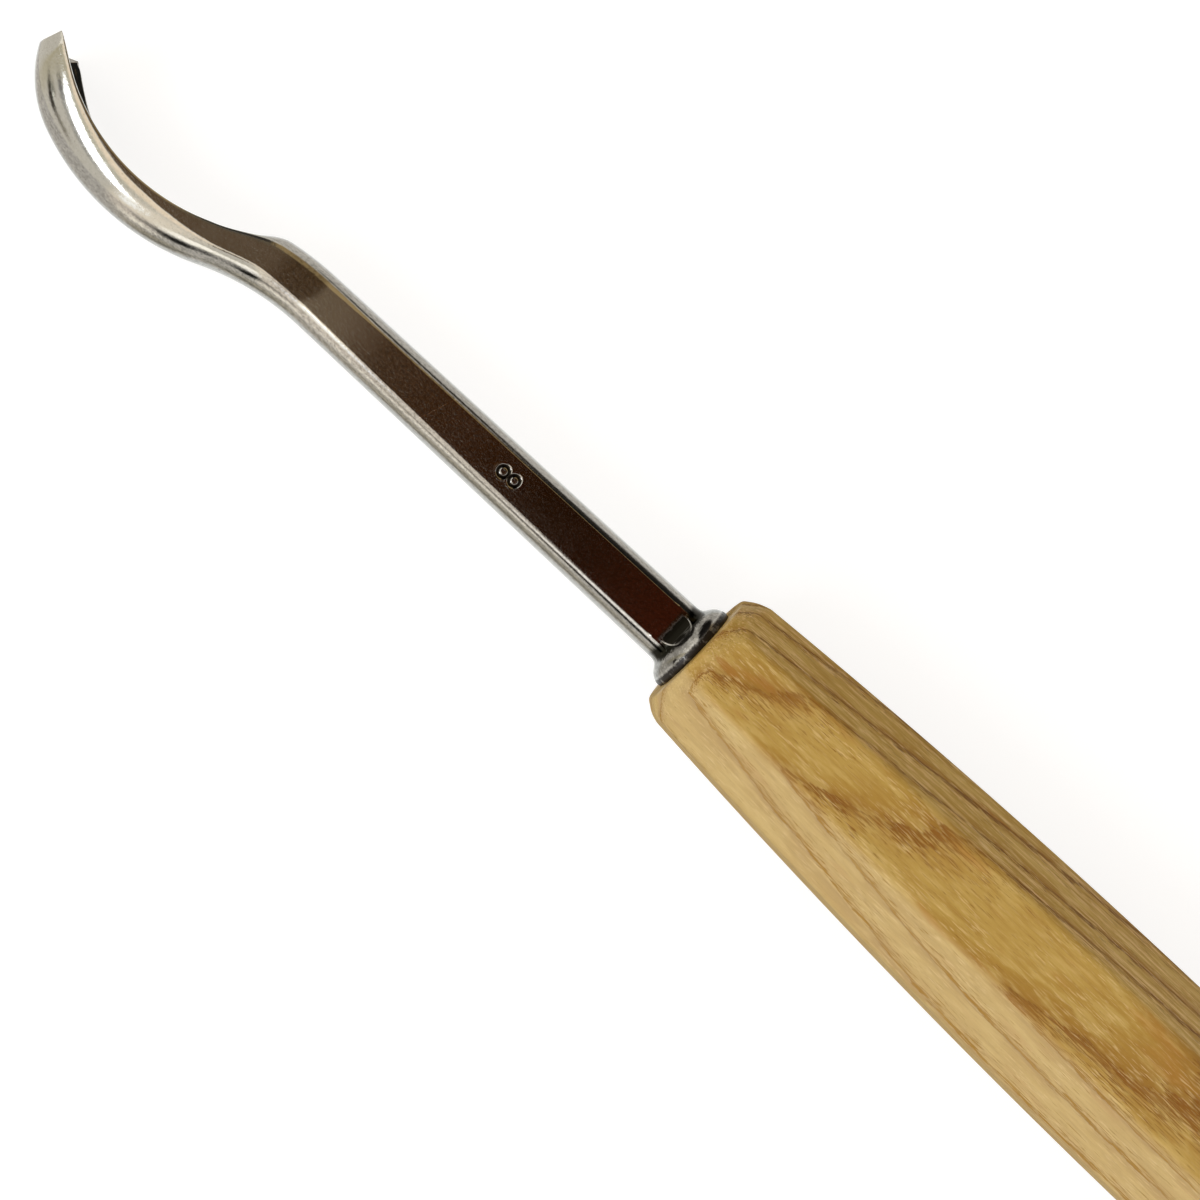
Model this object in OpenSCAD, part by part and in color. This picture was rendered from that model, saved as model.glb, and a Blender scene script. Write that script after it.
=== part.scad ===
// Bent gouge: a spoon-shaped steel blade with its tang set in an octagonal wooden handle.
// The tool lies along X with its cutting end towards -X. The channel opens towards +Y.
// The origin is the middle of the butt's flat face, and +Z is the side that lies uppermost.

/* [Handle] */
// Length of the handle, from its front face to the butt
handle_len = 134; // [115:1:150]
// Distance across the flats at the front end
front_w = 20.6; // [19:0.2:21.8]
// Distance across the flats at the swell, which is the widest place
swell_w = 28; // [27.5:0.5:34]
// Distance from the front face back to the swell
swell_at = 94; // [70:1:100]
// Distance across the flats at the butt
butt_w = 24.4; // [20:0.2:25.4]
// Radius of the flat front face, inside its turned chamfer
front_face_r = 9.2; // [8:0.1:9.4]
// Length of the turned chamfer at the front end
front_chamfer = 3; // [1:0.1:4]
// Radius of the flat butt face, inside its turned chamfer
butt_face_r = 9; // [6:0.1:9.8]
// Length of the turned chamfer at the butt
butt_chamfer = 3.4; // [1:0.1:5]

/* [Collar and tang] */
// Diameter of the collar where it seats on the wood
collar_d = 13.3; // [12:0.1:15]
// Radius of the rounded rim of the collar
collar_rim_r = 1; // [0.6:0.05:1.3]
// Length of the collar, with the cone that runs down to the shank
collar_len = 4.2; // [3:0.1:6]
// How far the collar and the shank sit off the handle's middle line, away from the channel
blade_drop = 0.3; // [0:0.05:0.8]
// Length of the tang inside the handle
tang_len = 42; // [30:1:60]
// Width of the square tang at the collar
tang_w = 6; // [4:0.1:7]
// Width of the square tang at its end
tang_end_w = 2.6; // [1.5:0.1:3.5]
// Gap between the tang and its socket, on each side
tang_gap = 0.1; // [0.05:0.05:0.3]
// Depth of the socket past the end of the tang
socket_spare = 1.5; // [0.5:0.5:4]

/* [Shank] */
// Length of the straight shank, from the handle to where the bend starts
shank_len = 69; // [50:1:90]
// Height of the shank at the collar, across the plane of the bend
shank_h = 9.2; // [8:0.1:11]
// Height of the shank where the bend starts
bend_h = 8.3; // [7.4:0.1:9]
// Thickness of the shank from side to side
shank_t = 7.6; // [6:0.1:9]
// Height of the flat on each side of the shank at the collar, between its rounded top and back
side_flat = 5.3; // [3:0.1:6]
// Height of the side flats where the bend starts
bend_flat = 4.1; // [3:0.1:5]
// Height of the rounded top of the shank
crown_h = 1.85; // [1:0.05:2.2]
// Angle by which the shank leans away from the handle's middle line
shank_lean = 1.1; // [0:0.1:2]

/* [Spoon] */
// Width of the cutting edge from corner to corner
edge_w = 12; // [10:0.5:16]
// Height of the cutting edge from the middle of its curve to its corners
edge_h = 3.8; // [3:0.1:4.4]
// How far the corners of the cutting edge stand ahead of its middle
corner_lead = 0.8; // [0:0.1:1.2]
// Height of the blade at the neck, where the back is steepest
neck_h = 5.3; // [4.8:0.1:6]
// Height of the blade at its deepest, behind the nose
spoon_h = 6.2; // [6:0.1:7.5]
// Thickness of the steel under the middle of the channel
floor_t = 2.1; // [1.6:0.1:2.6]
// Thickness of the wings at their rim
rim_t = 0.8; // [0.5:0.1:1.2]
// Height of the narrow flat below the rim, next to the bevel
rim_flat = 0.3; // [0.2:0.1:1]
// Distance along the back from the start of the bend to where the top opens into the channel
channel_start = 6.5; // [4:0.5:10]
// Distance over which the rounded top falls to the rims of the channel
head_len = 8; // [5:0.5:12]
// Distance over which the channel runs down to its full depth
channel_ramp = 18; // [10:1:24]
// Distance over which the side flats narrow to the rims
flat_run = 21.5; // [14:0.5:30]
// Radius of the back where the shank bends down into the spoon
crank_r = 37; // [30:1:45]
// Slope of the back at its steepest, in degrees
crank_slope = 24; // [18:0.5:28]
// Radius of the back under the spoon
spoon_r = 34; // [28:1:42]
// Slope of the back where the tighter nose begins, in degrees
nose_slope = 22; // [16:0.5:28]
// Radius of the back round the nose
nose_r = 16; // [13:0.5:20]
// Slope of the back at the cutting edge, in degrees
edge_slope = 64.6; // [58:0.2:70]
// Length of the ground bevel along the middle of the back
bevel_len = 4.2; // [2:0.1:6]
// Thickness left at the cutting edge
edge_t = 0.1; // [0.05:0.05:0.2]

/* [Hidden] */
$fn = 96;
deg = 180 / PI;
side_count = 8;
// Across the corners of an octagon, over its distance across the flats
corner_ratio = 1 / cos(180 / side_count);
// How far cutters reach past what they cut
past = 1;
// Facets on the long shallow arcs of the handle's sides
long_arc_fn = 720;
// How sharply the spoon flares towards its edge
flare = 1.5;
// The share of the crown's height that its sharp corners lose
corner_break = 0.15;
// How far the shank reaches back into the collar
shank_root = 1.5;
// Where on the collar's round rim its cone begins, in degrees, and how far its foot sinks into the shank
cone_tangent = 45;
cone_sink = 0.3;
// How far the front chamfer spreads outwards over its length
front_spread = 0.7;
// Points from the middle of the blade's section to either side
half_points = 7;
// Rings of the loft along the shank, the crank, the spoon, the nose and the bevel
shank_rings = 4;
crank_rings = 8;
spoon_rings = 12;
nose_rings = 8;
bevel_rings = 3;

// Radius of the arc that falls by drop over a run, and lies level at its start
function arc_radius(run, drop) = (run * run + drop * drop) / (2 * drop);
front_arc_r = arc_radius(swell_at, (swell_w - front_w) / 2);
butt_arc_r = arc_radius(handle_len - swell_at, (swell_w - butt_w) / 2);

function mix(a, b, f) = a + (b - a) * f;
function share(x, from, to) = min(1, max(0, (x - from) / (to - from)));
function smooth(f) = f * f * (3 - 2 * f);

// The back of the blade is a straight line and three arcs that run into each other.
// Slopes count from the shank's middle line, downwards on the way to the edge.
function arc_end(p, from, to, r) =
  p + (to > from ? 1 : -1) * r * [sin(from) - sin(to), cos(to) - cos(from)];
back_slope = -atan((shank_h - bend_h) / 2 / shank_len);
bend_start = [-shank_len, -bend_h / 2];
crank_end = arc_end(bend_start, back_slope, crank_slope, crank_r);
spoon_end = arc_end(crank_end, crank_slope, -nose_slope, spoon_r);
heel_slope = edge_slope - bevel_len / nose_r * deg;

// Distances along the back at the ends of its parts
crank_at = shank_len + crank_r * (crank_slope - back_slope) / deg;
nose_at = crank_at + spoon_r * (crank_slope + nose_slope) / deg;
heel_at = nose_at + nose_r * (heel_slope - nose_slope) / deg;
edge_at = heel_at + bevel_len;
head_at = shank_len + channel_start;

// Stations of the loft along the back, each a point, a slope and a distance from the collar
function along_arc(start, from, to, r, at, rings) = [
  for (i = [1:rings])
    let (slope = mix(from, to, i / rings))
      [arc_end(start, from, slope, r), slope, at + r * abs(slope - from) / deg]
];
stations = concat(
  [for (i = [0:shank_rings])
    let (x = mix(shank_root, shank_len, i / shank_rings))
      [[-x, -mix(shank_h, bend_h, x / shank_len) / 2], back_slope, x]],
  along_arc(bend_start, back_slope, crank_slope, crank_r, shank_len, crank_rings),
  along_arc(crank_end, crank_slope, -nose_slope, spoon_r, crank_at, spoon_rings),
  along_arc(spoon_end, -nose_slope, -heel_slope, nose_r, nose_at, nose_rings),
  along_arc(arc_end(spoon_end, -nose_slope, -heel_slope, nose_r),
    -heel_slope, -edge_slope, nose_r, heel_at, bevel_rings)
);

// How the blade's section changes with the distance from the collar
function nose_share(at) = pow(share(at, nose_at, edge_at), 3);
function since_head(at, run) = smooth(share(at, head_at, head_at + run));
function bevel_share(at) = share(at, heel_at, edge_at);
function crown(at) = crown_h * (1 - since_head(at, head_len));
function side_top(at) =
  at < head_at + head_len
  ? mix(mix(shank_h, bend_h, share(at, 0, shank_len)) - crown_h, neck_h, since_head(at, head_len))
  : mix(mix(neck_h, spoon_h, share(at, head_at + head_len, nose_at)), edge_h, nose_share(at));
function flat(at) =
  mix(mix(mix(side_flat, bend_flat, pow(share(at, 0, shank_len), 2)), rim_flat, since_head(at, flat_run)),
    edge_t, bevel_share(at));
function width(at) = mix(shank_t, edge_w, pow(share(at, shank_len, edge_at), flare));
function rim(at) =
  mix(mix(corner_break * crown_h, rim_t, since_head(at, head_len)), edge_t / 2, bevel_share(at));
function depth(at) = (side_top(at) - mix(floor_t, edge_t, bevel_share(at))) * since_head(at, channel_ramp);

// Height over its middle of an arc of the given half width and rise, at a share u of the half width
function arc_rise(half, rise, u) =
  let (r = arc_radius(half, rise)) r - sqrt(max(0, r * r - half * half * u * u));

// One ring of the blade: across the top, down one side, across the back and up the other side
across = [for (j = [-half_points:half_points]) sin(90 * j / half_points)];
function ring(station) =
  let (
    at = station[2],
    side = side_top(at),
    half = width(at) / 2,
    inner = half - rim(at),
    hollow = depth(at),
    lead = corner_lead * nose_share(at) / side,
    top = [for (u = across)
      let (dome = crown(at) * mix(sqrt(1 - u * u), 1, corner_break))
        [-inner * u, hollow > 0
          ? side + dome - hollow + arc_rise(inner, hollow, u)
          : side + dome]],
    back = [for (u = across)
      let (round_back = (side - flat(at)) * (1 - sqrt(1 - u * u)))
        [half * u, mix(round_back, arc_rise(half, side - edge_t, u), bevel_share(at))]],
    outline = concat(top, [[-half, side]], back, [[half, side]]),
    slope = station[1],
    up = [-sin(slope), cos(slope)],
    ahead = [-cos(slope), -sin(slope)]
  )
    [for (p = outline)
      let (q = station[0] + p[1] * (up + lead * ahead)) [q[0], q[1], p[0]]];

rings = [for (s = stations) ring(s)];
row = len(across);
around = 2 * row + 2;
ring_count = len(rings);

function quad(a, b, c, d) = [[c, b, a], [d, c, a]];

// Triangles across one end of the loft: a strip between its top and its back
function end_cap(base, flip) =
  let (tris = concat(
    [for (j = [0:row - 2]) each quad(base + j, base + j + 1, base + around - 3 - j, base + around - 2 - j)],
    [[base + around - 1, base + around - 2, base], [base + row + 1, base + row, base + row - 1]]
  ))
    [for (t = tris) flip ? [t[2], t[1], t[0]] : t];

blade_faces = concat(
  [for (i = [0:ring_count - 2], j = [0:around - 1])
    each quad(i * around + j, i * around + (j + 1) % around,
      (i + 1) * around + (j + 1) % around, (i + 1) * around + j)],
  end_cap(0, true),
  end_cap((ring_count - 1) * around, false)
);

// The tool's own frame puts its origin at the butt, and the pieces are drawn from the handle's front
module placed() {
  translate([-handle_len, 0, 0])
    children();
}

module on_blade_line() {
  translate([0, -blade_drop, 0])
    children();
}

// Turns what is drawn round Z to lie along X, with its height towards -X
module forwards() {
  rotate([0, -90, 0])
    children();
}

// The shank and spoon, lofted through the rings
module shank_and_spoon() {
  rotate([0, 0, shank_lean])
    polyhedron(points = [for (r = rings) each r], faces = blade_faces, convexity = 6);
}

// A collar with a round rim, and a cone that falls to the sides of the shank
module collar() {
  rim_mid = collar_d / 2 - collar_rim_r;
  forwards()
    rotate_extrude() {
      square([rim_mid, 2 * collar_rim_r]);
      translate([rim_mid, collar_rim_r])
        intersection() {
          circle(r = collar_rim_r);
          translate([0, -collar_rim_r])
            square([collar_rim_r, 2 * collar_rim_r]);
        }
      polygon([[0, collar_rim_r],
        [rim_mid + collar_rim_r * cos(cone_tangent), collar_rim_r * (1 + sin(cone_tangent))],
        [shank_t / 2 - cone_sink, collar_len], [0, collar_len]]);
    }
}

// A square taper along +X, widened on each side by a gap and lengthened past its end
module square_taper(gap, spare) {
  long = tang_len + spare;
  end_half = mix(tang_w, tang_end_w, long / tang_len) / 2 + gap;
  start_half = tang_w / 2 + gap;
  intersection_for (turn = [0, 90])
    rotate([turn, 0, 0])
      translate([0, 0, -tang_w])
        linear_extrude(2 * tang_w)
          polygon([[0, -start_half], [0, start_half], [long, end_half], [long, -end_half]]);
}

module blade() {
  color("slategray")
    placed()
      on_blade_line() {
        shank_and_spoon();
        collar();
        square_taper(0, 0);
      }
}

// The outline of two opposite sides of the handle: arcs that are level at the swell
module handle_sides() {
  for (piece = [[0, swell_at, front_arc_r], [swell_at, handle_len, butt_arc_r]])
    intersection() {
      translate([piece[0], -swell_w])
        square([piece[1] - piece[0], 2 * swell_w]);
      for (side = [0, 1])
        mirror([0, side])
          intersection() {
            translate([swell_at, swell_w / 2 - piece[2]])
              circle(r = piece[2], $fn = long_arc_fn);
            translate([0, -past])
              square([handle_len, swell_w]);
          }
    }
}

// The turned chamfers at both ends
module turned_ends() {
  full_r = swell_w * corner_ratio;
  rotate([0, 90, 0])
    rotate_extrude()
      polygon([[0, 0], [front_face_r, 0], [front_face_r + front_spread * front_chamfer, front_chamfer],
        [full_r, front_chamfer + (full_r - front_face_r)],
        [full_r, handle_len - butt_chamfer - (full_r - butt_face_r)],
        [butt_face_r + butt_chamfer, handle_len - butt_chamfer],
        [butt_face_r, handle_len], [0, handle_len]]);
}

module handle() {
  color("burlywood")
    placed()
      difference() {
        intersection() {
          intersection_for (k = [0:side_count / 2 - 1])
            rotate([k * 360 / side_count, 0, 0])
              translate([0, 0, -swell_w])
                linear_extrude(2 * swell_w)
                  handle_sides();
          turned_ends();
        }
        on_blade_line()
          translate([-past, 0, 0])
            square_taper(tang_gap, socket_spare);
      }
}

blade();
handle();
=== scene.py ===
from math import atan, cos, degrees, radians, sin, sqrt, tan

import bpy
import numpy as np
from mathutils import Matrix, Vector


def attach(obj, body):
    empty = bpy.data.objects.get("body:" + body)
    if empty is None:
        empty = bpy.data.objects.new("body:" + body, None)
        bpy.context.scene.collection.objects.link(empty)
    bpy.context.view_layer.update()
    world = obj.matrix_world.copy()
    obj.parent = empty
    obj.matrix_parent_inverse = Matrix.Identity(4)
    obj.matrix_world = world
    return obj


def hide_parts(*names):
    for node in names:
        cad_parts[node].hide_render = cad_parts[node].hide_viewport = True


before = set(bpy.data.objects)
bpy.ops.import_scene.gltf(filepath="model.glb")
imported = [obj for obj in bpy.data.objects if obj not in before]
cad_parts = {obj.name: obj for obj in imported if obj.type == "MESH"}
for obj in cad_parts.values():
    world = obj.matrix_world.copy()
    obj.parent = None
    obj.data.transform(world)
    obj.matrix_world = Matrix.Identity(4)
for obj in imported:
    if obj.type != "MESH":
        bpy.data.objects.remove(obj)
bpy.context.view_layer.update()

# The camera looks down on the tool as it lies on its side, with the spoon at the upper left.
# Its place was solved from the outline of the shank, the spoon and the facets of the handle.
mm = 0.001
handle_len = 134.0
image_px = 1200
focal_px = 1877.0
camera_range = 253.97
camera_shift = Vector((12.971, -6.734, 0.0))
roll, pitch, yaw = -0.7670, 0.02642, -0.08501
camera_turn = Matrix.Rotation(roll, 3, "Z") @ Matrix.Rotation(pitch, 3, "Y") @ Matrix.Rotation(yaw, 3, "X")
sensor_width = 36.0

camera_data = bpy.data.cameras.new("camera")
camera_data.sensor_width = sensor_width
camera_data.lens = focal_px / image_px * sensor_width
camera_data.clip_start = 0.01
camera = bpy.data.objects.new("camera", camera_data)
back_turn = camera_turn.transposed()
camera_place = back_turn @ (Vector((0, 0, camera_range)) - camera_shift) - Vector((handle_len, 0, 0))
camera.matrix_world = Matrix.Translation(camera_place * mm) @ back_turn.to_4x4()
bpy.context.scene.collection.objects.link(camera)
bpy.context.scene.camera = camera
bpy.context.scene.view_settings.view_transform = "Standard"

# The blade is one forging of tool steel: tang, collar, shank, bend and spoon.
# It is ground and polished, and its tang is driven into the handle up to the collar.
# Its section keeps two flat sides, a rounded top and a rounder back, and opens into the spoon.

# Sizes are in millimetres and degrees. A place on the blade is its distance from the wood, along the back.
shank_len, shank_h, bend_h, shank_t = 69.0, 9.2, 8.3, 7.6
crown_h, shank_lean, blade_drop = 1.85, 1.1, 0.3
crank_r, crank_slope, spoon_r, nose_slope, nose_r = 37.0, 24.0, 34.0, 22.0, 16.0
# The flats are tall on the shank, shrink through the bend, and fade out near the tip
side_flat, bend_flat, flat_from, flat_to = 5.5, 4.32, 70.0, 96.0
spoon_flat_at, spoon_flats = (92, 99, 106, 114, 122), (1.2, 0.95, 0.55, 0.2, 0.1)
# How steeply the back turns away from the flats
edge_turn, spoon_edge_turn = 24.0, 9.0
channel_start, head_len, channel_ramp, thinning_run = 6.5, 8.0, 18.0, 10.0
neck_h, spoon_h, floor_t, far_wing_drop = 5.3, 6.2, 2.1, 0.45
shank_rim_t, rim_t, edge_rim_t = 0.1, 0.8, 0.45
edge_w, edge_h, edge_t, edge_slope, widening = 12.8, 3.8, 0.1, 62.5, 1.5
bevel_len, bevel_len_at_corner, corner_lead = 5.6, 1.3, 1.4
top_points, back_points, least_crown = 60, 90, 1e-6


def mix(a, b, share):
    return a + (b - a) * share


def share_of(x, start, end):
    return np.clip((x - start) / (end - start), 0.0, 1.0)


def smooth(share):
    return share * share * (3 - 2 * share)


back_slope = -degrees(atan((shank_h - bend_h) / 2 / shank_len))
crank_at = shank_len + crank_r * radians(crank_slope - back_slope)
nose_at = crank_at + spoon_r * radians(crank_slope + nose_slope)
edge_at = nose_at + nose_r * radians(edge_slope - nose_slope)
heel_at = edge_at - bevel_len
head_at = shank_len + channel_start


def back_point(at):
    """Point and slope of the back at a place on the blade"""
    if at <= shank_len:
        return np.array([-at, -mix(shank_h, bend_h, at / shank_len) / 2]), back_slope
    point, slope, left = np.array([-shank_len, -bend_h / 2]), back_slope, at - shank_len
    for end, radius in ((crank_slope, crank_r), (-nose_slope, spoon_r), (-edge_slope, nose_r)):
        sign = 1 if end > slope else -1
        run = min(left, radius * abs(radians(end - slope)))
        to = slope + sign * degrees(run / radius)
        a, b = radians(slope), radians(to)
        point = point + sign * radius * np.array([sin(a) - sin(b), cos(b) - cos(a)])
        slope, left = to, left - run
        if left <= 0:
            break
    return point, slope


def since_head(at, run):
    """How far the section has changed, over a run that starts where the channel does"""
    return smooth(share_of(at, head_at, head_at + run))


def arc_rise(half, rise, u):
    """Height of an arc above its lowest point, at a share u of its half width"""
    radius = (half * half + rise * rise) / (2 * rise)
    return radius - np.sqrt(np.maximum(0, radius**2 - (half * u) ** 2))


def half_section(at, far):
    """One side of the section, from the middle of the top to the middle of the back, as z and height"""
    nose = share_of(at, nose_at, edge_at) ** 3
    ground = share_of(at, heel_at, edge_at)
    half = mix(shank_t, edge_w, share_of(at, shank_len, edge_at) ** widening) / 2
    if at < head_at + head_len:
        shoulder = mix(shank_h, bend_h, share_of(at, 0, shank_len)) - crown_h
        side = mix(shoulder, neck_h, since_head(at, head_len))
    else:
        side = mix(mix(neck_h, spoon_h, share_of(at, head_at + head_len, nose_at)), edge_h, nose)
    if far:
        side -= far_wing_drop * smooth(share_of(at, head_at + head_len, nose_at)) * (1 - 0.5 * nose)
    shank_flat = mix(side_flat, bend_flat, share_of(at, 0, shank_len) ** 2)
    spoon_flat = np.interp(at, spoon_flat_at, spoon_flats)
    flat = mix(shank_flat, spoon_flat, smooth(share_of(at, flat_from, flat_to)))
    flat = mix(flat, edge_t, ground)
    rim = mix(mix(shank_rim_t, rim_t, since_head(at, head_len)), edge_rim_t, share_of(at, nose_at, edge_at))
    inner = half - rim
    left = share_of(edge_at - at, 0, thinning_run)
    thick = mix(edge_t, floor_t, 1 - (1 - left) ** 2)
    hollow = (side - thick) * since_head(at, channel_ramp)
    crown = crown_h * (1 - since_head(at, head_len))

    u = np.linspace(0, 1, top_points)
    top = side + np.zeros_like(u)
    if crown > least_crown:
        radius = (half**2 + crown**2) / (2 * crown)
        top = top + np.sqrt(radius**2 - (inner * u) ** 2) - (radius - crown)
    if hollow > 0:
        top = top - hollow + arc_rise(inner, hollow, u)
    low = side - flat
    # The back is part of an ellipse that meets the side flats at an edge
    turn = tan(radians(mix(edge_turn, spoon_edge_turn, share_of(at, shank_len, crank_at)))) * low / half
    short = turn / (1 - turn)
    v = np.linspace(1, 0, back_points)
    angle = np.arcsin(sqrt(1 - short**2)) * v
    out, rise = np.sin(angle) / sqrt(1 - short**2), (1 - np.cos(angle)) / (1 - short)
    on_bevel = share_of(at, edge_at - mix(bevel_len, bevel_len_at_corner, rise), edge_at)
    edge_half = inner + edge_t / 2
    heel = np.stack([half * out, low * rise], 1)
    edge = np.stack([edge_half * out, arc_rise(edge_half, side - edge_t, out)], 1)
    back = mix(heel, edge, on_bevel[:, None])
    corner = np.array([mix(half, edge_half, on_bevel[0]), side])
    parts = [np.stack([inner * u, top], 1), corner[None], back]
    return np.concatenate(parts), (len(u), len(u) + 1)


# How the mesh's points are spread over half a section, and how the corners are eased
corner_steps = np.array([-3.2, -2.0, -1.2, -0.6, 0, 0.6, 1.2, 2.0, 3.2])
top_count, flat_count, back_count = 16, 30, 26
fine_step, pick_reach, flat_parts = 0.02, 1.2, 2.2
# The eased corners' radius: the upper one is given at places on the blade
ease_at, upper_ease = (0, 60, 68, 76, 84, 150), (0.075, 0.075, 0.3, 0.3, 0.2, 0.2)
lower_ease, ease_at_edge, edge_run = 0.075, 0.018, 3.0
upper_holds, upper_fades = 1.5, 3.5  # in radii from the upper corner


def smoothed(line, radius):
    """A finely stepped half section, averaged along itself, with its ends mirrored in the middle line"""
    reach = int(3 * radius / fine_step) + 1  # three deviations of the bell curve
    weights = np.exp(-0.5 * (np.arange(-reach, reach + 1) * fine_step / radius) ** 2)
    weights /= weights.sum()
    before, after = line[1 : reach + 1][::-1] * [-1, 1], line[-reach - 1 : -1][::-1] * [-1, 1]
    padded = np.concatenate([before, line, after])
    return np.stack([np.convolve(padded[:, k], weights, "valid") for k in (0, 1)], 1)


def round_corners(line, corners, upper, lower):
    """The points that the mesh takes from the line, with its two corners eased by a radius each"""
    steps = np.hypot(*np.diff(line, axis=0).T)
    along = np.concatenate([[0], np.cumsum(steps)])
    total = along[-1]
    s = np.arange(0, total, fine_step)
    dense = np.stack([np.interp(s, along, line[:, k]) for k in (0, 1)], 1)
    first, second = along[corners[0]], along[corners[1]]
    by_upper = smooth(1 - share_of(np.abs(s - first), upper_holds * upper, upper_fades * upper))
    eased = mix(smoothed(dense, lower), smoothed(dense, upper), by_upper[:, None])
    widest_step = (second - first) / flat_parts / corner_steps[-1]
    near = first + corner_steps * min(upper * pick_reach, widest_step)
    far = second + corner_steps * min(lower * pick_reach, widest_step)
    picks = np.concatenate(
        [
            np.linspace(0, near[0], top_count)[:-1],
            near,
            np.linspace(near[-1], far[0], flat_count)[1:-1],
            far,
            np.linspace(far[-1], total, back_count)[1:],
        ]
    )
    return np.stack([np.interp(picks, s, eased[:, k]) for k in (0, 1)], 1)


def ring_at(at):
    """The whole section at a place on the blade, in the blade's own x, y and z"""
    point, slope = back_point(at)
    up = np.array([-sin(radians(slope)), cos(radians(slope))])
    ahead = np.array([-cos(radians(slope)), -sin(radians(slope))])
    to_edge = share_of(at, edge_at - edge_run, edge_at)
    upper = mix(np.interp(at, ease_at, upper_ease), ease_at_edge, to_edge)
    lower = mix(lower_ease, ease_at_edge, to_edge)
    sides = []
    for far in (False, True):
        line, corners = half_section(at, far)
        half = round_corners(line, corners, upper, lower)
        half[0, 0] = half[-1, 0] = 0
        sides.append(half * [-1 if far else 1, 1])
    near, other = sides
    other[0] = near[0]
    section = np.concatenate([near, other[-2:0:-1]])
    lead = corner_lead * share_of(at, nose_at, edge_at) ** 3 * (section[:, 1:2] / edge_h) ** 2
    flat_points = point + section[:, 1:2] * up + lead * ahead
    return np.column_stack([flat_points[:, 0], flat_points[:, 1], section[:, 0]])


# The collar is forged with the blade. Its outline: distance from the wood and radius
collar_x = np.array([0.0, 0.12, 0.35, 0.7, 1.05, 1.4, 1.75, 2.1, 2.4, 2.7, 3.0, 3.35, 3.8, 4.4, 5.2])
collar_r = np.array([6.38, 6.56, 6.64, 6.64, 6.56, 6.42, 6.22, 5.92, 5.54, 5.1, 4.78, 4.6, 4.4, 4.0, 3.6])
collar_blend, ridge_blend, flat_corner = 0.3, 0.12, 4.63
# The wall at the end of each side flat: distance from the wood and height
wall_x = np.array([0.0, 2.2, 2.44, 2.65, 2.9, 3.2, 3.6, 4.0, 4.5, 5.2])
wall_z = np.array([9.0, 6.1, 5.35, 4.88, 4.52, 4.25, 4.03, 3.91, 3.83, 3.8])
flat_starts, flat_holds = 3.70, 3.785


def soft_max(a, b, blend):
    """The larger of two sizes, with a smooth change over a band"""
    share = np.clip(0.5 + 0.5 * (b - a) / blend, 0, 1)
    return mix(a, b, share) + blend * share * (1 - share)


def soft_min(a, b, blend):
    return -soft_max(-a, -b, blend)


def with_collar(ring, at):
    """The shank's section run out into the collar, where each side flat ends in a hollow wall"""
    y, z = ring[:, 1], ring[:, 2]
    size = np.hypot(y, z)
    collar = np.interp(at, collar_x, collar_r)
    reach = soft_max(flat_corner, collar, collar_blend)
    across = y * reach / flat_corner
    above = np.sqrt(np.maximum(reach**2 - across**2, 0))
    height = np.maximum(shank_t / 2, soft_min(np.interp(at, wall_x, wall_z), above, ridge_blend))
    on_flat = np.column_stack([ring[:, 0], across, np.sign(z) * height])
    grow = soft_max(size, collar, collar_blend) / size
    spread = np.column_stack([ring[:, 0], y * grow, z * grow])
    return mix(spread, on_flat, smooth(share_of(np.abs(z), flat_starts, flat_holds))[:, None])


# The number 8 stamped into the side that lies uppermost: two rings, as middle and half sizes.
# The punch has raised a low lip round its stroke.
stamp_rings = ((-33.3, -0.05, 0.74, 0.74), (-35.2, -0.1, 0.78, 0.78))
stamp_depth, stamp_stroke, flat_margin = 0.14, 0.21, 0.02
lip_h, lip_away, lip_w = 0.012, 0.32, 0.1


def stamped(ring):
    """The ring with the number pressed into its uppermost flat"""
    out = ring.copy()
    on_flat = ring[:, 2] > shank_t / 2 - flat_margin
    if not on_flat.any():
        return out
    press = np.zeros(len(ring))
    lip = np.zeros(len(ring))
    for x, y, half_x, half_y in stamp_rings:
        away = np.hypot((ring[:, 0] - x) / half_x, (ring[:, 1] - y) / half_y) - 1
        away = np.abs(away) * (half_x + half_y) / 2
        press = np.maximum(press, np.exp(-((away / stamp_stroke) ** 4)))
        lip = np.maximum(lip, np.exp(-(((away - lip_away) / lip_w) ** 2)))
    out[:, 2] += np.where(on_flat, lip_h * lip * (1 - press) - stamp_depth * press, 0)
    return out


# The tang: a square taper
tang_len, tang_w, tang_end_w = 42.0, 6.0, 2.6


def square_ring(like, x, half):
    """A square ring with its points at the same angles as those of another ring"""
    y, z = like[:, 1], like[:, 2]
    grow = half / np.maximum(np.abs(y), np.abs(z))
    return np.column_stack([np.full(len(y), x), y * grow, z * grow])


def skin(name, rings, start, end):
    """A closed mesh through rings of points, with a fan to a middle point at each end"""
    count = len(rings[0])
    points = np.concatenate([[start], *rings, [end]])
    faces = [(0, 1 + (i + 1) % count, 1 + i) for i in range(count)]
    for row in range(len(rings) - 1):
        a = 1 + row * count
        b = a + count
        faces += [(a + i, a + (i + 1) % count, b + (i + 1) % count, b + i) for i in range(count)]
    last, tip = 1 + (len(rings) - 1) * count, len(points) - 1
    faces += [(last + i, last + (i + 1) % count, tip) for i in range(count)]
    mesh = bpy.data.meshes.new(name)
    mesh.from_pydata((points * mm).tolist(), [], faces)
    mesh.validate()
    mesh.polygons.foreach_set("use_smooth", [True] * len(mesh.polygons))
    mesh.update()
    piece = bpy.data.objects.new(name, mesh)
    bpy.context.scene.collection.objects.link(piece)
    return piece


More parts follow.
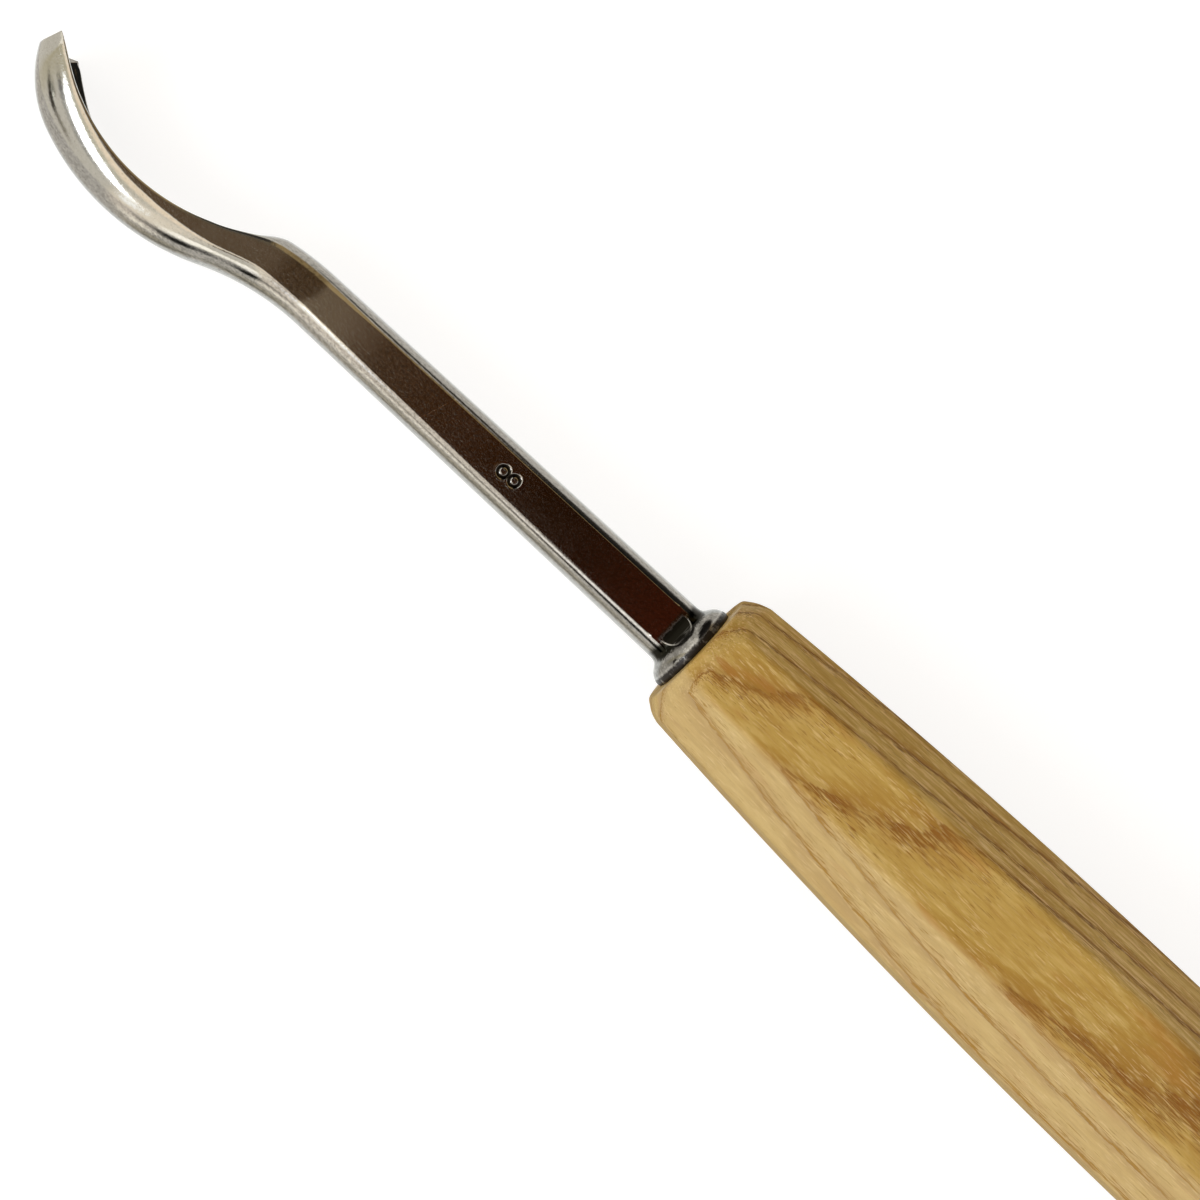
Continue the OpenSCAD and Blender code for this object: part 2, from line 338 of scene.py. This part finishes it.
# Where the blade's rings lie, close together on the collar, the stamp and the bevel: start, end and step
collar_end, stamp_from, stamp_to, bend_from = 6.0, 32.0, 36.8, 62.0
first_rings, first_at = (0.0, 0.05, 0.12, 0.22), 0.001
ring_rows = (
    (0.35, 1.7, 0.13),
    (1.7, collar_end, 0.085),
    (collar_end, stamp_from, 0.9),
    (stamp_from + 0.1, stamp_to - 0.3, 0.07),
    (stamp_to, bend_from - 0.4, 0.9),
    (bend_from, heel_at - 1, 0.45),
    (heel_at - 1, edge_at, 0.22),
)
stations = np.concatenate([first_rings, *(np.arange(*row) for row in ring_rows), [edge_at]])
root = ring_at(collar_end)
blade_rings = []
for at in stations:
    ring = ring_at(max(at, first_at))
    if at < collar_end:
        ring = with_collar(ring, at)
    if stamp_from < at < stamp_to:
        ring = stamped(ring)
    blade_rings.append(ring)
tang_shares = (1.0, 0.97, 0.75, 0.5, 0.25, 0.02, 0.0)
tang_rings = [square_ring(root, tang_len * k, mix(tang_w, tang_end_w, k) / 2) for k in tang_shares]
tang_tip = np.array([tang_len, 0, 0])
edge_middle = (blade_rings[-1][0] + blade_rings[-1][len(root) // 2]) / 2


def set_in_tool(points, lean):
    """From the blade's own frame to the tool's: leant, dropped off the middle line, and moved to the front"""
    x, y, z = points.T
    a = radians(lean)
    turned = np.column_stack([x * cos(a) - y * sin(a), x * sin(a) + y * cos(a), z])
    return turned + [-handle_len, -blade_drop, 0]


rings = [set_in_tool(r, 0) for r in tang_rings]
lean_run = 2.0
for at, ring in zip(stations, blade_rings):
    rings.append(set_in_tool(ring, shank_lean * smooth(share_of(at, 0.0, lean_run))))
blade = skin(
    "steel_blade",
    rings,
    set_in_tool(tang_tip[None], 0)[0],
    set_in_tool(edge_middle[None], shank_lean)[0],
)


class Wire:
    """An output socket of a node tree. Arithmetic on it adds the Math nodes."""

    def __init__(self, tree, socket=None):
        self.tree, self.socket = tree, socket

    def node(self, kind, settings=(), sockets=(), out=0):
        """Any other node: its type, settings, the values or links of its sockets, and the output wanted"""
        made = self.tree.nodes.new("ShaderNode" + kind)
        for name, value in dict(settings).items():
            if name == "stops":
                ramp = made.color_ramp
                for _ in range(len(value) - 2):
                    ramp.elements.new(0.5)
                for stop, (position, colour) in zip(ramp.elements, value):
                    stop.position = position
                    stop.color = (*(colour if isinstance(colour, tuple) else (colour,) * 3), 1.0)
            else:
                setattr(made, name, value)
        for name, value in dict(sockets).items():
            if isinstance(value, Wire):
                self.tree.links.new(value.socket, made.inputs[name])
            else:
                made.inputs[name].default_value = value
        return Wire(self.tree, made.outputs[out])

    def maths(self, operation, *values):
        return self.node("Math", {"operation": operation}, dict(enumerate((self, *values))))

    def vector_maths(self, operation, *values):
        return self.node("VectorMath", {"operation": operation}, dict(enumerate((self, *values))))

    def blend(self, under, over):
        """Two colours mixed: this value is the share of the one laid over"""
        colours = {k: (*c, 1) if isinstance(c, tuple) else c for k, c in ((6, under), (7, over))}
        return self.node("Mix", {"data_type": "RGBA"}, {0: self, **colours}, out=2)

    def ranged(self, low, high, to_low=0.0, to_high=1.0):
        """The value moved from one range to another and kept inside it, with soft ends"""
        sockets = {0: self, 1: low, 2: high, 3: to_low, 4: to_high}
        return self.node("MapRange", {"interpolation_type": "SMOOTHSTEP"}, sockets)

    def below(self, low, high):
        """1 under the lower limit, 0 over the higher one, and a soft change between them"""
        return self.ranged(low, high, 1.0, 0.0)

    def ramp(self, *stops):
        return self.node("ValToRGB", {"stops": stops}, {0: self})

    def noise(self, stretch, detail=2.0, roughness=0.5, seed=0.0):
        """Soft noise, from 0 to 1, of a position in millimetres divided by a size along each axis"""
        spread = self.vector_maths("MULTIPLY", tuple(1 / s for s in stretch))
        moved = spread.vector_maths("ADD", (seed, seed * 1.7, seed * 0.6))
        sockets = {"Vector": moved, "Scale": 1.0, "Detail": detail, "Roughness": roughness}
        return moved.node("TexNoise", {}, sockets)

    def __abs__(self):
        return self.maths("ABSOLUTE")

    def __add__(self, other):
        return self.maths("ADD", other)

    def __sub__(self, other):
        return self.maths("SUBTRACT", other)

    def __rsub__(self, other):
        return self * -1 + other

    def __mul__(self, other):
        return self.maths("MULTIPLY", other)

    def __truediv__(self, other):
        return self.maths("DIVIDE", other)

    def __pow__(self, other):
        return self.maths("POWER", other)

    __radd__, __rmul__ = __add__, __mul__


def new_material(name):
    """A material, its shader, and the place on the piece in millimetres from the handle's front face"""
    material = bpy.data.materials.new(name)
    material.use_nodes = True
    tree = material.node_tree
    place = Wire(tree).node("TexCoord", out="Object")
    settings, sockets = {"operation": "MULTIPLY_ADD"}, {0: place, 1: (1 / mm,) * 3, 2: (handle_len, 0, 0)}
    return material, tree.nodes["Principled BSDF"], place.node("VectorMath", settings, sockets)


def plug(shader, **sockets):
    """Sets or links sockets of the shader. Names carry _ for spaces."""
    for name, value in sockets.items():
        socket = shader.inputs[name.replace("_", " ").title().replace("Ior", "IOR")]
        if isinstance(value, Wire):
            value.tree.links.new(value.socket, socket)
        else:
            socket.default_value = value


steel, shader, place = new_material("polished_tool_steel")
along, across, upward = (place.node("SeparateXYZ", {}, {0: place}, out=axis) for axis in "XYZ")
from_wood = along * -1
off_middle = across + blade_drop - along * sin(radians(shank_lean))
aside = abs(off_middle)

# The ground steel: clouded, mottled and leathery, with bright specks and dark pits
grey, pale_grey = (0.385, 0.378, 0.36), (0.425, 0.418, 0.405)
mottle_pale, mottle_dark = (0.58, 0.56, 0.52), (0.27, 0.26, 0.24)
speck_white, pit_black = (0.66, 0.64, 0.60), (0.10, 0.09, 0.07)
leather = place.noise((0.5, 0.32, 0.32), 4.0, 0.6)
cloud = place.noise((9, 4, 4), 3.0, 0.55, seed=3.0)
mottle = place.noise((0.6, 0.4, 0.4), 3.0, 0.65, seed=59.0)
specks = place.noise((0.22, 0.16, 0.16), 1.0, 0.5, seed=7.0).ranged(0.74, 0.80)
pits = place.noise((0.34, 0.20, 0.20), 2.0, 0.6, seed=9.0).ranged(0.62, 0.74)
colour = cloud.ranged(0.3, 0.7).blend(grey, pale_grey)
colour = (mottle.below(0.36, 0.5) * 0.4).blend(colour, mottle_pale)
colour = (mottle.ranged(0.5, 0.64) * 0.6).blend(colour, mottle_dark)
colour = (specks * 0.3).blend(colour, speck_white)
colour = (pits * 0.75).blend(colour, pit_black)

# The side flats are ground coarser in two patches at the bend. Each ends over a soft stretch of the blade.
coarse_pale, wander = (0.86, 0.84, 0.72), cloud - 0.5
first_start, first_end, second_start = (-66.0, -56.0), (-70.4, -69.0), (-77.0, -73.5)
coarse = (along + wander * 4.0).ranged(*first_end) * (along + wander * 9.0).below(*first_start)
coarse = (coarse + 0.6 * along.below(*second_start)) * upward.ranged(3.4, 3.7)
colour = (coarse * 0.9 * mottle).blend(colour, coarse_pale)

# One scratch runs slantwise over the uppermost flat
scratch_white, scratch_x, scratch_slant = (0.95, 0.92, 0.86), -47.3, 0.35
off_scratch = abs(along - scratch_x - scratch_slant * off_middle + wander * 0.8)
scratch = off_scratch.below(0.04, 0.11) * upward.ranged(3.6, 3.75) * leather.ranged(0.4, 0.6)
colour = (scratch * 0.7).blend(colour, scratch_white)

# Painted shade darkens the pocket where each flat ends, streaked with grey, and a painted dark line runs
# round the pocket's edge.
# The rim by the wood is the darkest, with painted shade at the joint, and thin smears lie on the collar's
# flare.
pocket_black_shade, pocket_grey_shade, edge_line_shade = (0.012, 0.011, 0.008), (0.17, 0.165, 0.15), (0.014, 0.014, 0.01)
rim_shade_black, smear_grey, dirt_black = (0.012, 0.008, 0.006), (0.13, 0.125, 0.11), (0.016, 0.014, 0.01)
ragged = place.noise((1.2, 0.25, 0.25), 3.0, 0.6, seed=41.0) - 0.5
stripes = place.noise((0.13, 1.5, 1.5), 2.0, 0.6, seed=43.0)
smears = place.noise((1.4, 0.9, 0.9), 3.0, 0.6, seed=47.0)
nook_end, nook_half, nook_r = 2.5, 2.25, 1.7
past_side, past_end = aside - (nook_half - nook_r), (nook_end + nook_r) - from_wood
outside = (past_side.maths("MAXIMUM", 0.0) ** 2 + past_end.maths("MAXIMUM", 0.0) ** 2) ** 0.5 - nook_r
depth = from_wood + 0.9 * ragged
# Mask of the painted shade inside the pocket
nook_shade_mask = outside.below(-0.14, -0.04) * depth.below(4.5, 5.1)
round_nook = outside.ranged(0.06, 0.12) * (outside + 0.3 * ragged).below(0.28, 0.45)
# Mask of the painted dark line round the pocket's edge
edge_shade_mask = outside.ranged(0.08, 0.2) * depth.ranged(2.4, 2.7)
edge_shade_mask = edge_shade_mask * aside.ranged(1.7, 2.0) * (aside + 0.9 * ragged).below(4.2, 4.7)
edge_shade_mask = edge_shade_mask.maths("MAXIMUM", round_nook) * depth.below(4.0, 5.0)
# Mask of the painted shade at the rim by the wood, where the collar meets the handle
wood_joint_shade = (from_wood + 0.5 * ragged).below(0.95, 1.25) * smears.ranged(0.52, 0.72, 1.0, 0.4)
on_flare = from_wood.ranged(1.2, 1.6) * from_wood.below(3.2, 4.2) * smears.ranged(0.36, 0.58, 0.35, 1.0)
# The pocket's painted shade: black, streaked with grey
pocket_shade_colour = (stripes.ranged(0.45, 0.72) * from_wood.ranged(3.3, 2.9)).blend(pocket_black_shade, pocket_grey_shade)
colour = (on_flare * 0.62).blend(colour, smear_grey)
colour = wood_joint_shade.blend(colour, rim_shade_black)
colour = nook_shade_mask.blend(colour, pocket_shade_colour)
colour = edge_shade_mask.blend(colour, edge_line_shade)

# Dirt has stayed in the stamped number
for x, y, half_x, half_y in stamp_rings:
    from_x, from_y = (along - x) / half_x, (off_middle - y) / half_y
    off_ring = ((from_x * from_x + from_y * from_y) ** 0.5 - 1.0) * ((half_x + half_y) / 2)
    in_ring = abs(off_ring).below(0.20, 0.29) * upward.ranged(3.5, 3.6)
    colour = in_ring.blend(colour, dirt_black)

# The polish is fine. The leathery grain moves the surface by about a hundredth of a millimetre.
polish_rough, grain_depth = 0.055, 0.00001
rough = polish_rough + 0.05 * cloud + 0.04 * leather.ranged(0.45, 0.75) + 0.3 * nook_shade_mask + 0.3 * wood_joint_shade
height = leather * 1.8 - specks * 0.08 - pits * 0.25
bump = place.node("Bump", {}, {"Strength": 0.5, "Distance": grain_depth, "Height": height})
plug(shader, metallic=1.0 - 0.7 * wood_joint_shade - 0.08 * coarse, base_color=colour, roughness=rough, normal=bump)
blade.data.materials.append(steel)

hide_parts("blade")
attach(blade, "root")

# The handle is a single piece of ash, planed to eight facets that swell towards the butt.
# Both ends are turned to a blunt chamfer, the corners are eased, and the wood is oiled.
# The front has a square tapered socket, which the tang fills.
front_w, swell_w, butt_w, swell_at = 20.6, 28.0, 24.4, 94.0
front_face_r, front_chamfer, front_spread, butt_face_r = 9.2, 3.0, 0.7, 9.0
tang_gap, socket_spare = 0.1, 1.5
corner_r, end_blend = 1.8, 0.5


def half_width(x):
    """Half the distance across the flats, on an arc that is level at the swell"""
    run, narrow = (swell_at, front_w) if x < swell_at else (handle_len - swell_at, butt_w)
    drop = (swell_w - narrow) / 2
    radius = (run**2 + drop**2) / (2 * drop)
    return swell_w / 2 - radius + sqrt(radius**2 - (x - swell_at) ** 2)


half_facet = radians(22.5)
from_corner = np.radians([0, 0.5, 1, 1.5, 2, 2.5, 3, 3.5, 4, 4.6, 5.6, 7.5, 10, 13.5, 17, 20, 22.5])
one_facet = np.concatenate([half_facet - from_corner, -half_facet + from_corner[:-1][::-1]])
spokes = np.sort(np.concatenate([one_facet[1:] + k * 2 * half_facet for k in range(8)]))
local = np.abs((spokes + half_facet) % (2 * half_facet) - half_facet)


def facet_radius(x):
    """Distance from the middle line to the facets along each spoke, with eased corners"""
    flat = half_width(x)
    tangent = np.arctan2((flat - corner_r) * tan(half_facet), flat)
    hub = (flat - corner_r) / cos(half_facet)
    off = half_facet - local
    rounded = hub * np.cos(off) + np.sqrt(np.maximum(corner_r**2 - (hub * np.sin(off)) ** 2, 0))
    return np.where(local < tangent, flat / np.cos(local), rounded)


def turned_radius(x):
    """Radius of the turned chamfers, which run out where the facets lie inside them"""
    kink = front_face_r + front_spread * front_chamfer
    front = front_face_r + front_spread * x if x < front_chamfer else kink + (x - front_chamfer)
    return min(front, butt_face_r + (handle_len - x))


def handle_ring(x, radius):
    return np.column_stack([np.full(len(spokes), x), radius * np.cos(spokes), radius * np.sin(spokes)])


def socket_ring(x, half):
    grow = half / np.maximum(np.abs(np.cos(spokes)), np.abs(np.sin(spokes)))
    ring = handle_ring(x, grow)
    return ring - [0, blade_drop, 0]


def socket_half(depth):
    return mix(tang_w, tang_end_w, depth / tang_len) / 2 + tang_gap


socket_depth, socket_shares = tang_len + socket_spare, (1, 0.75, 0.5, 0.25, 0.01, 0)
handle_rings = [socket_ring(socket_depth * k, socket_half(socket_depth * k)) for k in socket_shares]
face_edge, front_face_rings, butt_face_rings = 0.25, (5.6, 7.0, 8.2), (6, 3)
handle_rings += [handle_ring(0, r) for r in (*front_face_rings, front_face_r - face_edge)]
end_run, end_step, middle_step = 8.0, 0.2, 2.0
end_steps = np.concatenate([[0.02, 0.08, 0.18, 0.3], np.arange(0.5, end_run - 0.5, end_step)])
middle_steps = np.arange(end_run, handle_len - end_run, middle_step)
for x in np.concatenate([end_steps, middle_steps, handle_len - end_steps[::-1]]):
    radius = soft_min(facet_radius(x), turned_radius(x), end_blend)
    ease = max(0, 1 - min(x, handle_len - x) / face_edge)
    handle_rings.append(handle_ring(x, radius - face_edge * (1 - sqrt(1 - ease**2))))
handle_rings += [handle_ring(handle_len, r) for r in (butt_face_r - face_edge, *butt_face_rings)]
handle_rings = [r - [handle_len, 0, 0] for r in handle_rings]
handle = skin(
    "ash_handle",
    [r[::-1] for r in handle_rings],
    np.array([socket_depth - handle_len, -blade_drop, 0]),
    np.array([0.0, 0, 0]),
)

# Rings of growth, as distances from the pith, which runs just below the tool and slants across it.
# They waver along the grain in three sizes of wave.
pith_y, pith_z, pith_slant_y, pith_slant_z = 6.563, -20.576, -0.054, -0.016
drift_size, ripple_size, jitter_size = 0.55, 0.34, 0.22
ring_lines = (6.5, 9.2, 12.0, 14.4, 17.1, 19.5, 21.8, 24.4, 26.85, 29.6, 32.1, 33.85, 36.0, 38.2)

ash, shader, place = new_material("oiled_ash")
x, y, z = (place.node("SeparateXYZ", {}, {0: place}, out=axis) for axis in "XYZ")
drift = place.noise((40, 12, 12), 2.0, 0.5, seed=2.0)
ripple = place.noise((5, 1.2, 1.2), 3.0, 0.6, seed=5.0)
jitter = place.noise((1.3, 0.22, 0.22), 2.0, 0.6, seed=6.0)
from_pith_y = y - (pith_y + pith_slant_y * x)
from_pith_z = z - (pith_z + pith_slant_z * x)
away = (from_pith_y * from_pith_y + from_pith_z * from_pith_z) ** 0.5
away = away + (drift - 0.5) * drift_size + (ripple - 0.5) * ripple_size + (jitter - 0.5) * jitter_size
year_ends = zip(ring_lines, ring_lines[1:])
years = [away.node("MapRange", {}, {0: away, 1: low, 2: high}) for low, high in year_ends]
season = sum(years).maths("FRACT")
wood = season.ramp(
    (0.0, (0.477, 0.254, 0.043)),
    (0.10, (0.535, 0.315, 0.065)),
    (0.30, (0.573, 0.367, 0.083)),
    (0.62, (0.587, 0.381, 0.088)),
    (0.80, (0.506, 0.301, 0.053)),
    (0.94, (0.411, 0.211, 0.028)),
    (1.0, (0.363, 0.174, 0.022)),
)

# Over the rings lie darker streaks, pale and dark patches, a reddish flush, short glints painted as pale
# highlights, and fibres
fibres = place.noise((5.0, 0.17, 0.17), 3.0, 0.65, seed=17.0)
glints = place.noise((2.4, 0.20, 0.20), 2.0, 0.6, seed=29.0)
streaks = place.noise((24, 0.5, 0.5), 3.0, 0.6, seed=19.0)
patch = place.noise((6.5, 1.2, 1.2), 3.0, 0.55, seed=23.0)
flush = place.noise((12, 2.4, 2.4), 2.0, 0.5, seed=31.0)
zones = place.noise((10, 3.0, 3.0), 2.0, 0.5, seed=53.0).ranged(0.42, 0.58, 0.25, 1.0)
streak_brown, patch_brown, fibre_brown = (0.430, 0.230, 0.034), (0.439, 0.244, 0.036), (0.32, 0.145, 0.016)
patch_pale, glint_highlight, flush_red = (0.726, 0.526, 0.172), (0.88, 0.68, 0.33), (0.497, 0.188, 0.022)
wood = (streaks.ranged(0.47, 0.68) * 0.45).blend(wood, streak_brown)
wood = (patch.ranged(0.47, 0.66) * 0.5).blend(wood, patch_pale)
wood = (patch.below(0.32, 0.47) * 0.35).blend(wood, patch_brown)
wood = (flush.ranged(0.60, 0.74) * 0.28).blend(wood, flush_red)
# The glints are painted highlights
wood = (glints.ranged(0.52, 0.68) * zones * 0.55).blend(wood, glint_highlight)
wood = (fibres.ranged(0.54, 0.72) * zones * 0.55).blend(wood, fibre_brown)

# Two reddish spots with ragged edges on the uppermost facet near the front: place and half sizes
spot_red, spots = (0.43, 0.175, 0.025), ((3.6, 0.1, 2.1, 0.62), (8.9, 2.0, 2.4, 0.62))
ragged = (streaks - 0.5) * 4.0 + (ripple - 0.5) * 3.0
for spot_x, spot_y, half_x, half_y in spots:
    from_x, from_y = (x - spot_x) / half_x, (y - spot_y) / half_y
    in_spot = (from_x * from_x + from_y * from_y + ragged).below(0.2, 1.3) * z.ranged(6.0, 8.0)
    wood = (in_spot * 0.5).blend(wood, spot_red)

# On the side of the handle towards the window the wood is painted paler, as a painted sheen
lit_side_pale, grazing_highlight = (0.80, 0.66, 0.40), (0.90, 0.66, 0.33)
from_middle = (y * y + z * z) ** 0.5
y_share = y / from_middle
lit_side = y_share.below(-0.46, -0.34)
wood = (lit_side * 0.33).blend(wood, lit_side_pale)

# On the opposite side the grain's relief, lit at a grazing angle, is painted in: pale streaks as painted
# highlights between darker lines
grazing_side = y_share.ranged(0.36, 0.46)
grazing_highlights = streaks.below(0.36, 0.52) * glints.ranged(0.34, 0.54)
wood = (grazing_highlights * grazing_side * 0.6).blend(wood, grazing_highlight)

# Each ring starts with pores that run together in a dark line, then break up into dashes and fade.
# The pores lie where the noise is above the least value for the time of the season.
early = ((0.0, 0.36), (0.05, 0.44), (0.12, 0.53), (0.28, 0.60))
late = ((0.6, 0.67), (0.96, 0.70), (0.985, 0.48), (1.0, 0.38))
least = season.ramp(*early, *late)
pores = (place.noise((3.2, 0.15, 0.15), 2.0, 0.55, seed=13.0) - least).ranged(0.0, 0.08)
# The pores' line is painted in lit and shaded copies: paler orange on the side towards the window, darker on
# the opposite side
pore_brown, pore_lit_orange, pore_shaded_dark = (0.27, 0.09, 0.0), (0.42, 0.205, 0.012), (0.17, 0.055, 0.0)
line = grazing_side.blend(lit_side.blend(pore_brown, pore_lit_orange), pore_shaded_dark)
wood = (pores * (0.5 + 0.3 * zones)).blend(wood, line)

# The oil lies thinly on the wood, and the facets at the sides are duller than the others
oil, pore_depth = 0.14, 0.0001
flank = abs(z / from_middle).below(0.37, 0.46)
rough = 0.46 + 0.10 * fibres + 0.12 * pores + 0.28 * flank
height = fibres * 0.35 - pores * 0.6
bump = place.node("Bump", {}, {"Strength": 0.7, "Distance": pore_depth, "Height": height})
plug(shader, base_color=wood, roughness=rough, normal=bump, specular_ior_level=0.42)
plug(shader, coat_weight=oil - oil * flank, coat_roughness=0.4)
handle.data.materials.append(ash)

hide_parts("handle")
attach(handle, "root")

# The table is a plain sheet of white paper, larger than the view, with the tool lying loose on it.
# The tool rests on the handle's lowest facet and the spoon's corner, so that the table lies
# at a slight slope to the tool's own frame. Seen directly the paper glows up to white.
rest_x, rest_z, rest_slope, rest_gap = -92.9, -12.85, 0.04358, 0.02
table_size, paper_grey, paper_glow = 4.0, 0.32, 0.82
table_mesh = bpy.data.meshes.new("table")
corners = [(-1, -1), (1, -1), (1, 1), (-1, 1)]
table_mesh.from_pydata([(table_size * a, table_size * b, 0) for a, b in corners], [], [(0, 1, 2, 3)])
table = bpy.data.objects.new("table", table_mesh)
slope = Matrix.Rotation(atan(rest_slope), 4, "Y")
table.matrix_world = Matrix.Translation((rest_x * mm, 0, (rest_z - rest_gap) * mm)) @ slope
bpy.context.scene.collection.objects.link(table)
paper = bpy.data.materials.new("white_paper")
paper.use_nodes = True
tree = paper.node_tree
shader = tree.nodes["Principled BSDF"]
rays = [Wire(tree).node("LightPath", out=f"Is {kind} Ray") for kind in ("Camera", "Glossy", "Transmission")]
seen = rays[0].maths("MAXIMUM", rays[1]).maths("MAXIMUM", rays[2])
plug(shader, base_color=(paper_grey,) * 3 + (1,), roughness=0.9, emission_color=(1, 1, 1, 1))
plug(shader, emission_strength=seen * paper_glow)
table_mesh.materials.append(paper)
table.visible_glossy = False

# The room: pale walls and a window at the lower left, which is the key light.
# Soft patches stand for the window, the walls and the darker things round the table.
world = bpy.data.worlds.new("room")
bpy.context.scene.world = world
world.use_nodes = True
tree = world.node_tree
look = Wire(tree).node("TexCoord", out="Generated")
east, north, skyward = (look.node("SeparateXYZ", {}, {0: look}, out=axis) for axis in "XYZ")
azimuth = north.maths("ARCTAN2", east).maths("DEGREES")
elevation = skyward.maths("ARCSINE").maths("DEGREES")
wall = (0.86, 0.82, 0.75)
roundness = 2.6
# azimuth, elevation, half width, half height, lean and softness in degrees, then the colour
patches = (
    ("floor", 0, -90, 900, 44, 0, 14, (1.02, 1.03, 1.0)),
    ("far wall", 95, 46, 42, 44, 0, 14, (0.43, 0.305, 0.145)),
    ("far band", 84, 12.5, 12, 31, 0, 4, (0.02, 0.02, 0.018)),
    ("far foot", 96, -8, 8, 5, 0, 5, (0.05, 0.045, 0.035)),
    ("far corner", 135, 25, 17, 42, 0, 6, (0.025, 0.022, 0.02)),
    ("near low", -93, -31, 10, 14, 0, 12, (0.66, 0.60, 0.48)),
    ("table edge", -90, -36, 9, 5, 0.4, 5, (0.40, 0.38, 0.32)),
    ("end wall", 180, 50, 26, 27, 0, 6, (1.45, 1.38, 1.25)),
    ("left wall", -147, 32, 6.5, 50, 0, 9, (0.70, 0.64, 0.48)),
    ("upper wall", -130, 71, 34, 9.5, 0, 6, (1.44, 1.22, 0.98)),
    ("over window", -125, 59, 14, 3, 0, 4, (0.80, 0.76, 0.62)),
    ("right wall", -98, 30, 7.5, 40, 0, 8, (1.26, 1.14, 0.98)),
    ("low light", -95, -3, 5.5, 6, 0, 5, (1.6, 1.5, 1.3)),
    ("slit", -101.5, 34, 1.7, 8, 0, 2, (1.9, 1.95, 2.05)),
    ("shelf", -93, 13, 4.5, 5, 0, 5, (0.50, 0.46, 0.40)),
    ("right edge", -85, 30, 7, 9, 0, 4, (1.85, 1.78, 1.68)),
    ("door", -85, 8, 5, 9, 0, 5, (0.17, 0.16, 0.15)),
    ("door gap", -85.5, 8, 5, 6.5, -1.0, 4, (0.015, 0.015, 0.012)),
    ("sill", -124, 37.5, 9, 3.5, -0.25, 4, (0.50, 0.49, 0.47)),
    ("window", -121.5, 47.4, 15.8, 5.4, -0.22, 2.5, (8.6, 9.1, 9.9)),
    ("beside window", -135.5, 39.5, 3, 4.5, 0, 3, (0.40, 0.40, 0.42)),
    ("dark spot", -137.6, 40, 1.6, 4.2, 0, 1.6, (0.05, 0.045, 0.04)),
    ("low shade", -126, 15, 3.5, 4, 0, 5, (0.30, 0.27, 0.22)),
    ("low dark", -135.5, 13.5, 6.2, 5.6, 0, 3, (0.03, 0.022, 0.015)),
    ("low edge", -137, 22, 1.6, 3.5, 1.2, 3, (0.10, 0.10, 0.06)),
    ("lamp", -134.7, 19.8, 1.5, 1.8, 0.5, 1, (1.5, 1.5, 1.4)),
)


def patch_share(at_azimuth, at_elevation, half_w, half_h, lean, soft):
    """How much of a direction is covered by a soft-edged patch of the room"""
    aside = (azimuth - at_azimuth).maths("WRAP", 180.0, -180.0)
    above = elevation - at_elevation - aside * lean
    reach = (abs(aside) / half_w) ** roundness + (abs(above) / half_h) ** roundness
    fade = soft / 2 / min(half_w, half_h)
    return (reach ** (1 / roundness)).below(1 - fade, 1 + fade)


light = wall
for name, *shape, colour in patches:
    light = patch_share(*shape).blend(light, colour)

# The dark ceiling overhead, which turns from red-brown above the collar to olive above the spoon
ceiling = east.node("MapRange", {}, {0: east, 1: -0.42, 2: 0.06}).ramp(
    (0.04, (0.02, 0.018, 0.012)),
    (0.31, (0.03, 0.025, 0.015)),
    (0.43, (0.19, 0.14, 0.085)),
    (0.485, (0.12, 0.065, 0.025)),
    (0.55, (0.125, 0.068, 0.030)),
    (0.604, (0.098, 0.045, 0.016)),
    (0.70, (0.073, 0.021, 0.004)),
    (0.79, (0.032, 0.012, 0.003)),
    (0.89, (0.030, 0.009, 0.003)),
    (0.95, (0.060, 0.016, 0.005)),
    (1.0, (0.080, 0.014, 0.005)),
)
to_side = east.ranged(-0.04, 0.0) * elevation.ranged(57.0, 64.0)
to_front = east.ranged(-0.42, -0.37) * north.ranged(0.0, 0.05) * elevation.ranged(62.0, 70.0)
light = to_side.maths("MAXIMUM", to_front).blend(light, ceiling)

# The camera itself sees white all round the tool
shown = look.node("LightPath", out="Is Camera Ray").blend(light, (1, 1, 1))
tree.links.new(shown.socket, tree.nodes["Background"].inputs["Color"])
